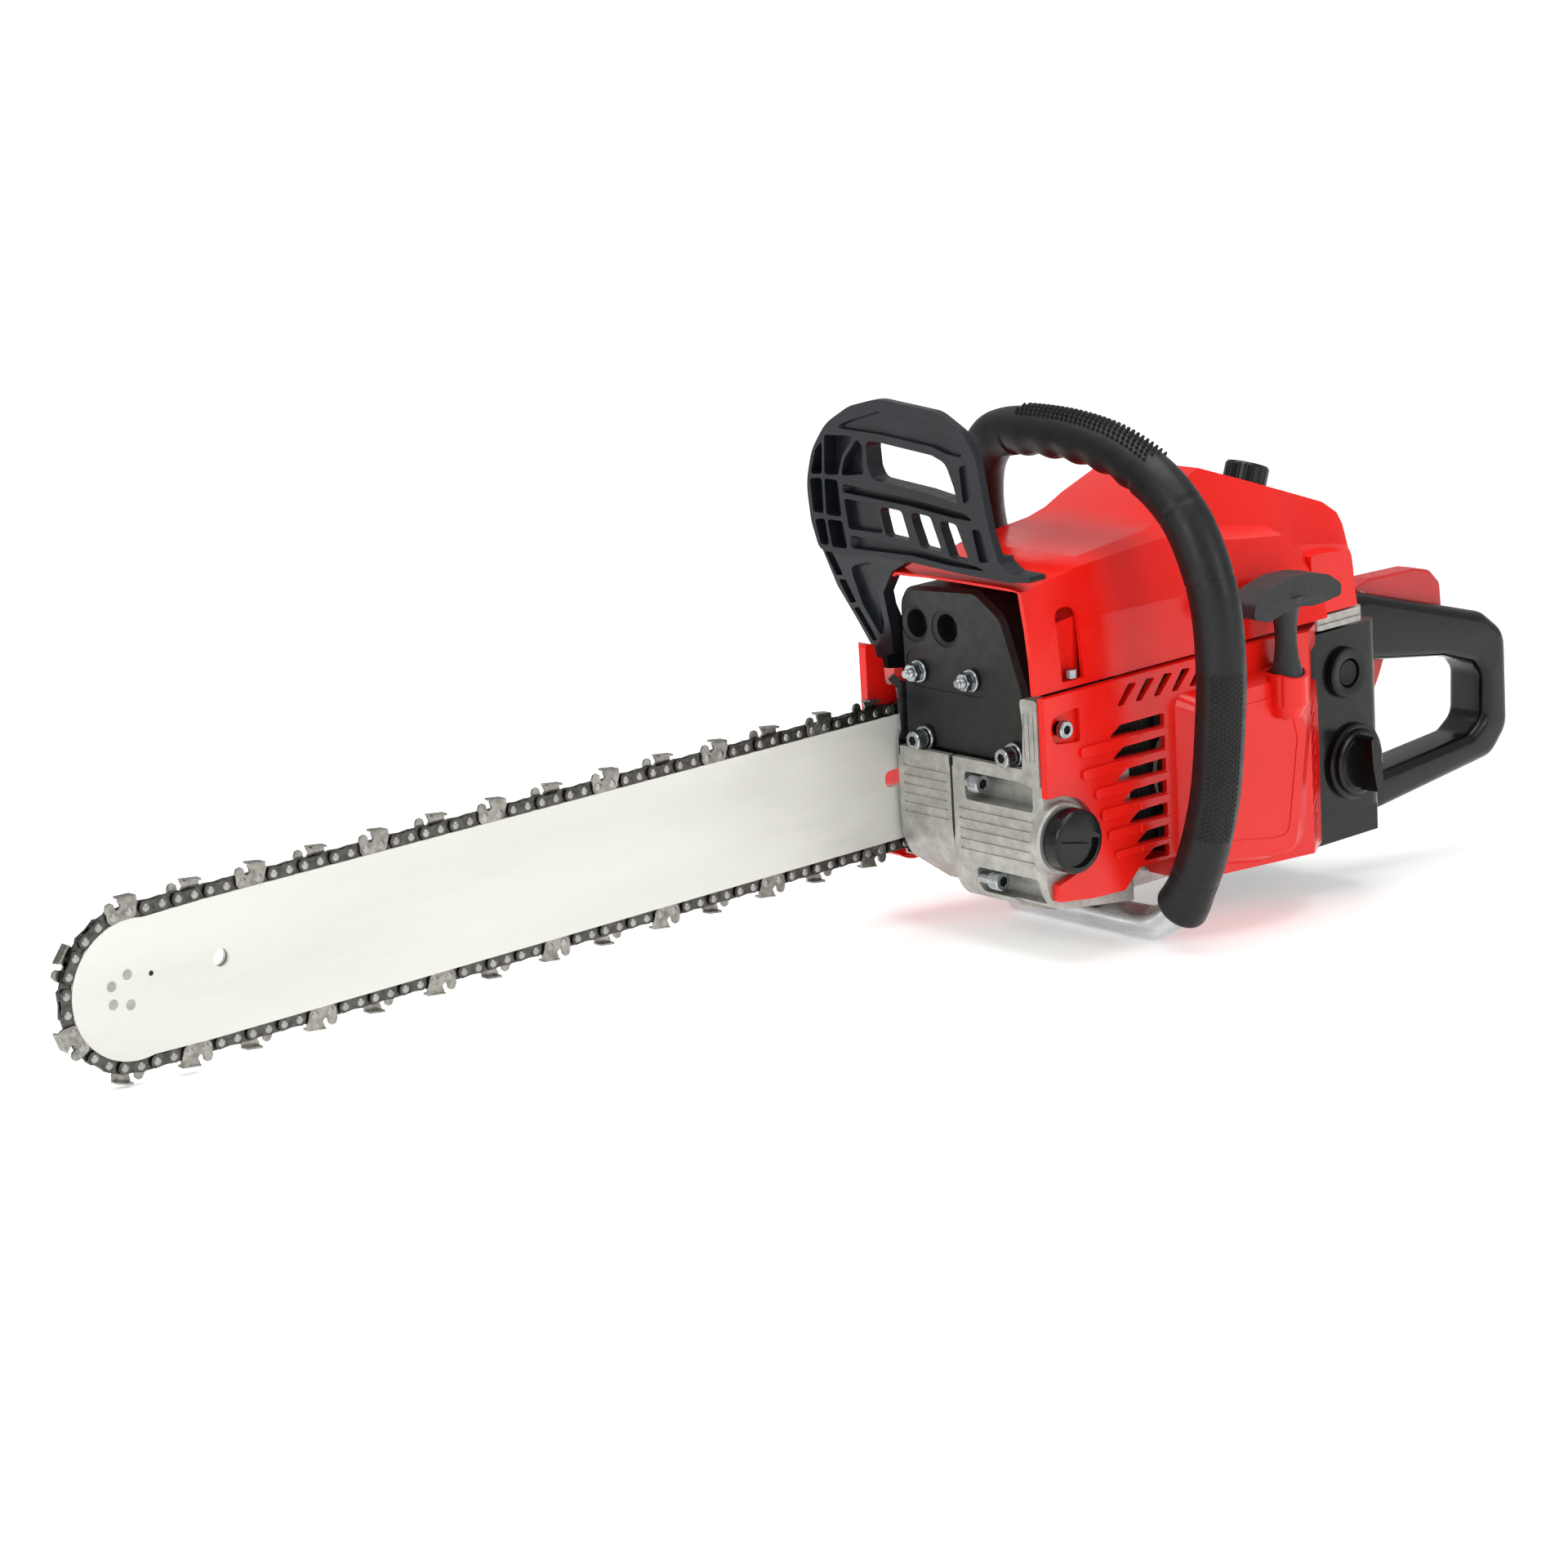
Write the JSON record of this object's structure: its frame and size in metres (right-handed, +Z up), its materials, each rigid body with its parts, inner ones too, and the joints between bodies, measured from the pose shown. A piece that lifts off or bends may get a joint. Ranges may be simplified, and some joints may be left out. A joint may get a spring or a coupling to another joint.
{
  "type": "chainsaw",
  "caption": "Petrol chainsaw with a long guide bar and chain, wrap-around front handle, hand guard, red covers, muffler, starter, fuel tank and rear throttle handle.",
  "frame": {"origin": "middle of the saw's footprint, level with the underside of the front handle tube", "axes": "+X from the bar nose back to the rear handle, +Y to the clutch side, +Z up, guide bar level"},
  "size_m": [0.8718, 0.215, 0.2716],
  "materials": {
    "red_cover": "gloss",
    "red_lever": "satin",
    "black_plastic": "satin",
    "black_rubber": "matte",
    "cast_alloy": "die cast",
    "polished_aluminium": "polished",
    "muffler_paint": "satin",
    "bar_steel": "satin",
    "chain_steel": "oiled",
    "zinc_fastener": "zinc plated",
    "machined_steel": "machined",
    "porcelain": "glazed",
    "filter_felt": "matte",
    "rope": "braided"
  },
  "bodies": {
    "powerhead": {"air_filter": "filter_felt", "bar_nut_front": "zinc_fastener", "bar_nut_rear": "zinc_fastener", "bar_stud_front": "zinc_fastener", "bar_stud_rear": "zinc_fastener", "bearing_left": "machined_steel", "bearing_right": "machined_steel", "brake_band": "machined_steel", "carburettor": "machined_steel", "carburettor_tray": "cast_alloy", "clutch_cover": "red_cover", "crankcase_bolt_lower": "zinc_fastener", "crankcase_bolt_upper": "zinc_fastener", "crankcase_left_half": "cast_alloy", "crankcase_right_half": "cast_alloy", "cylinder": "cast_alloy", "cylinder_cover": "red_cover", "cylinder_cover_screw": "zinc_fastener", "front_handle_grip": "black_rubber", "front_handle_tube": "polished_aluminium", "fuel_tank": "black_plastic", "guard_pin": "zinc_fastener", "guide_bar": "bar_steel", "ignition_coil": "black_rubber", "inner_bar_plate": "zinc_fastener", "intake_boot": "black_rubber", "mount_grommet": "black_rubber", "muffler": "muffler_paint", "muffler_bolt_left": "zinc_fastener", "muffler_bolt_right": "zinc_fastener", "muffler_nut_left": "zinc_fastener", "muffler_nut_right": "zinc_fastener", "oil_pump": "machined_steel", "rear_handle": "black_plastic", "rewind_spring": "machined_steel", "saw_chain": "chain_steel", "spark_plug": "porcelain", "starter_cover": "red_cover", "starter_cover_screw": "zinc_fastener"},
    "crank": {"crankshaft": "machined_steel", "flywheel": "cast_alloy", "clutch_hub": "machined_steel", "clutch_shoe_1": "machined_steel", "clutch_shoe_2": "machined_steel", "clutch_shoe_3": "machined_steel"},
    "piston": {"piston": "machined_steel"},
    "clutch_drum": {"clutch_drum": "machined_steel", "drive_sprocket": "machined_steel"},
    "nose_sprocket": {"nose_sprocket": "machined_steel"},
    "starter_reel": {"rope_reel": "black_plastic", "starter_rope": "rope"},
    "starter_handle": {"starter_handle": "black_plastic"},
    "hand_guard": {"hand_guard": "black_plastic"},
    "throttle_trigger": {"throttle_trigger": "red_lever"},
    "throttle_lockout": {"throttle_lockout": "red_lever"},
    "choke_knob": {"choke_knob": "black_plastic"},
    "stop_switch": {"stop_switch": "red_lever"},
    "oil_cap": {"oil_cap": "black_plastic"},
    "fuel_cap": {"fuel_cap": "black_plastic"},
    "cover_knob": {"cover_knob": "black_plastic"}
  },
  "joints": [
    {"name": "crankshaft_spin", "type": "hinge", "parent": "powerhead", "child": "crank", "pos_m": [0.14812, 0.0135, 0.08356], "axis": [0, 1, 0], "continuous": true},
    {"name": "piston_stroke", "type": "slide", "parent": "powerhead", "child": "piston", "axis": [0, 0, 1], "range_m": [-0.014, 0.014]},
    {"name": "clutch_drum_spin", "type": "hinge", "parent": "powerhead", "child": "clutch_drum", "pos_m": [0.14812, 0.0655, 0.08356], "axis": [0, 1, 0], "continuous": true},
    {"name": "nose_sprocket_spin", "type": "hinge", "parent": "powerhead", "child": "nose_sprocket", "pos_m": [-0.395, 0.0555, 0.08356], "axis": [0, 1, 0], "continuous": true},
    {"name": "starter_pull", "type": "slide", "parent": "powerhead", "child": "starter_handle", "axis": [0, 0, 1], "range_m": [0, 0.75], "stiffness_N_per_m": 5, "springref_m": -1},
    {"name": "starter_reel_spin", "type": "hinge", "parent": "powerhead", "child": "starter_reel", "pos_m": [0.14812, -0.0465, 0.08356], "axis": [0, 1, 0], "range_deg": [0, 1954.3]},
    {"name": "hand_guard_tilt", "type": "hinge", "parent": "powerhead", "child": "hand_guard", "pos_m": [0.082, 0.0675, 0.13756], "axis": [0, -1, 0], "range_deg": [0, 12]},
    {"name": "throttle_squeeze", "type": "hinge", "parent": "powerhead", "child": "throttle_trigger", "pos_m": [0.321, 0.0075, 0.10556], "axis": [0, -1, 0], "range_deg": [0, 12], "stiffness_Nm_per_rad": 0.4, "springref_deg": -17.19},
    {"name": "lockout_press", "type": "hinge", "parent": "powerhead", "child": "throttle_lockout", "pos_m": [0.33, 0.0075, 0.12856], "axis": [0, 1, 0], "range_deg": [0, 6], "stiffness_Nm_per_rad": 0.6, "springref_deg": -17.19},
    {"name": "choke_pull", "type": "slide", "parent": "powerhead", "child": "choke_knob", "axis": [1, 0, 0], "range_m": [0, 0.012]},
    {"name": "stop_switch_slide", "type": "slide", "parent": "powerhead", "child": "stop_switch", "axis": [0, 0, -1], "range_m": [0, 0.004]},
    {"name": "oil_cap_turn", "type": "hinge", "parent": "powerhead", "child": "oil_cap", "pos_m": [0.055, -0.0585, 0.06756], "axis": [0, -1, 0], "continuous": true},
    {"name": "fuel_cap_turn", "type": "hinge", "parent": "powerhead", "child": "fuel_cap", "pos_m": [0.282, -0.0365, 0.05556], "axis": [0, -1, 0], "continuous": true},
    {"name": "cover_knob_turn", "type": "hinge", "parent": "powerhead", "child": "cover_knob", "pos_m": [0.253, 0.0095, 0.19866], "axis": [0.343, 0, 0.9393], "continuous": true}
  ],
  "couplings": [
    {"joint": "starter_reel_spin", "follows": "starter_pull", "rad_per_m": 45.455}
  ]
}
